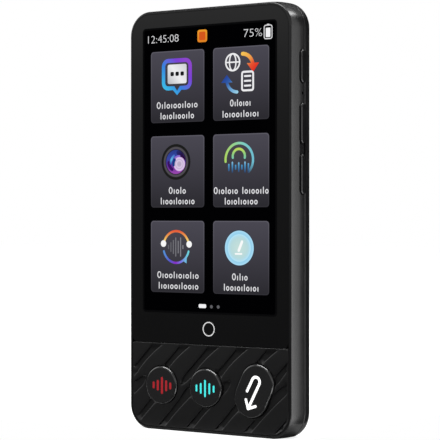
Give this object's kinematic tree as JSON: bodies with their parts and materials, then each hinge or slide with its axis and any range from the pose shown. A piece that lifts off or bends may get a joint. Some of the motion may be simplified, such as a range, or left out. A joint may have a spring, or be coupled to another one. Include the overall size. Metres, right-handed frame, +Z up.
{
  "type": "handheld translator",
  "caption": "Slim upright pocket translator with a glass front, a wavy ribbed key panel with round and slanted keys, side keys, a rear camera and a charging socket.",
  "frame": {"origin": "middle of the flat bottom edge that the device stands on, halfway through its thickness", "axes": "+Z up the device, -Y out of the screen, +X to the right as the screen is read"},
  "size_m": [0.0595, 0.0116, 0.1265],
  "materials": {
    "housing_black": "satin, fine spark texture",
    "panel_black": "matt, moulded wavy ribs",
    "key_black": "satin with polished rims",
    "glass_black": "gloss, black-backed with a lit picture area",
    "display": "gloss",
    "camera_glass": "gloss",
    "light_lens": "clear, frosted",
    "ring_metal": "anodised",
    "steel": "bright",
    "board_green": "solder mask",
    "flex_amber": "polyimide film",
    "battery_foil": "matt pouch foil",
    "foam": "closed-cell foam and tape",
    "inner_plastic": "moulded"
  },
  "bodies": {
    "chassis": {"mid_frame": "housing_black", "rear_cover": "housing_black", "front_panel": "panel_black", "front_glass": "glass_black", "glass_tape": "foam", "lcd_cell": "display", "backlight_unit": "steel", "display_flex": "flex_amber", "chassis_plate": "steel", "main_board": "board_green", "processor_shield": "steel", "radio_shield": "steel", "flex_connectors": "inner_plastic", "battery": "battery_foil", "battery_tape": "foam", "battery_lead": "flex_amber", "link_flex": "flex_amber", "key_board": "board_green", "key_domes": "steel", "usb_port": "steel", "usb_tongue": "inner_plastic", "bottom_microphone": "steel", "speaker": "inner_plastic", "speaker_gasket": "foam", "speaker_mesh": "foam", "antenna_flex": "flex_amber", "camera_module": "inner_plastic", "camera_window": "camera_glass", "camera_ring": "ring_metal", "flash_led": "light_lens", "flash_lens": "light_lens", "side_key_board": "flex_amber", "side_switches": "steel", "side_microphone": "steel", "board_screws": "steel", "plate_screws": "steel", "key_board_screws": "steel"},
    "left_speak_key": {"left_speak_key": "key_black"},
    "right_speak_key": {"right_speak_key": "key_black"},
    "back_key": {"back_key": "key_black"},
    "power_key": {"power_key": "key_black"},
    "volume_up_key": {"volume_up_key": "key_black"},
    "volume_down_key": {"volume_down_key": "key_black"}
  },
  "joints": [
    {"name": "left_speak_press", "type": "slide", "parent": "chassis", "child": "left_speak_key", "axis": [0, 1, 0], "range_m": [0, 0.00035], "stiffness_N_per_m": 800, "springref_m": -0.001},
    {"name": "right_speak_press", "type": "slide", "parent": "chassis", "child": "right_speak_key", "axis": [0, 1, 0], "range_m": [0, 0.00035], "stiffness_N_per_m": 800, "springref_m": -0.001},
    {"name": "back_press", "type": "slide", "parent": "chassis", "child": "back_key", "axis": [0, 1, 0], "range_m": [0, 0.00035], "stiffness_N_per_m": 800, "springref_m": -0.001},
    {"name": "power_press", "type": "slide", "parent": "chassis", "child": "power_key", "axis": [-1, 0, 0], "range_m": [0, 0.0003], "stiffness_N_per_m": 800, "springref_m": -0.001},
    {"name": "volume_up_press", "type": "slide", "parent": "chassis", "child": "volume_up_key", "axis": [-1, 0, 0], "range_m": [0, 0.0003], "stiffness_N_per_m": 800, "springref_m": -0.001},
    {"name": "volume_down_press", "type": "slide", "parent": "chassis", "child": "volume_down_key", "axis": [-1, 0, 0], "range_m": [0, 0.0003], "stiffness_N_per_m": 800, "springref_m": -0.001}
  ]
}
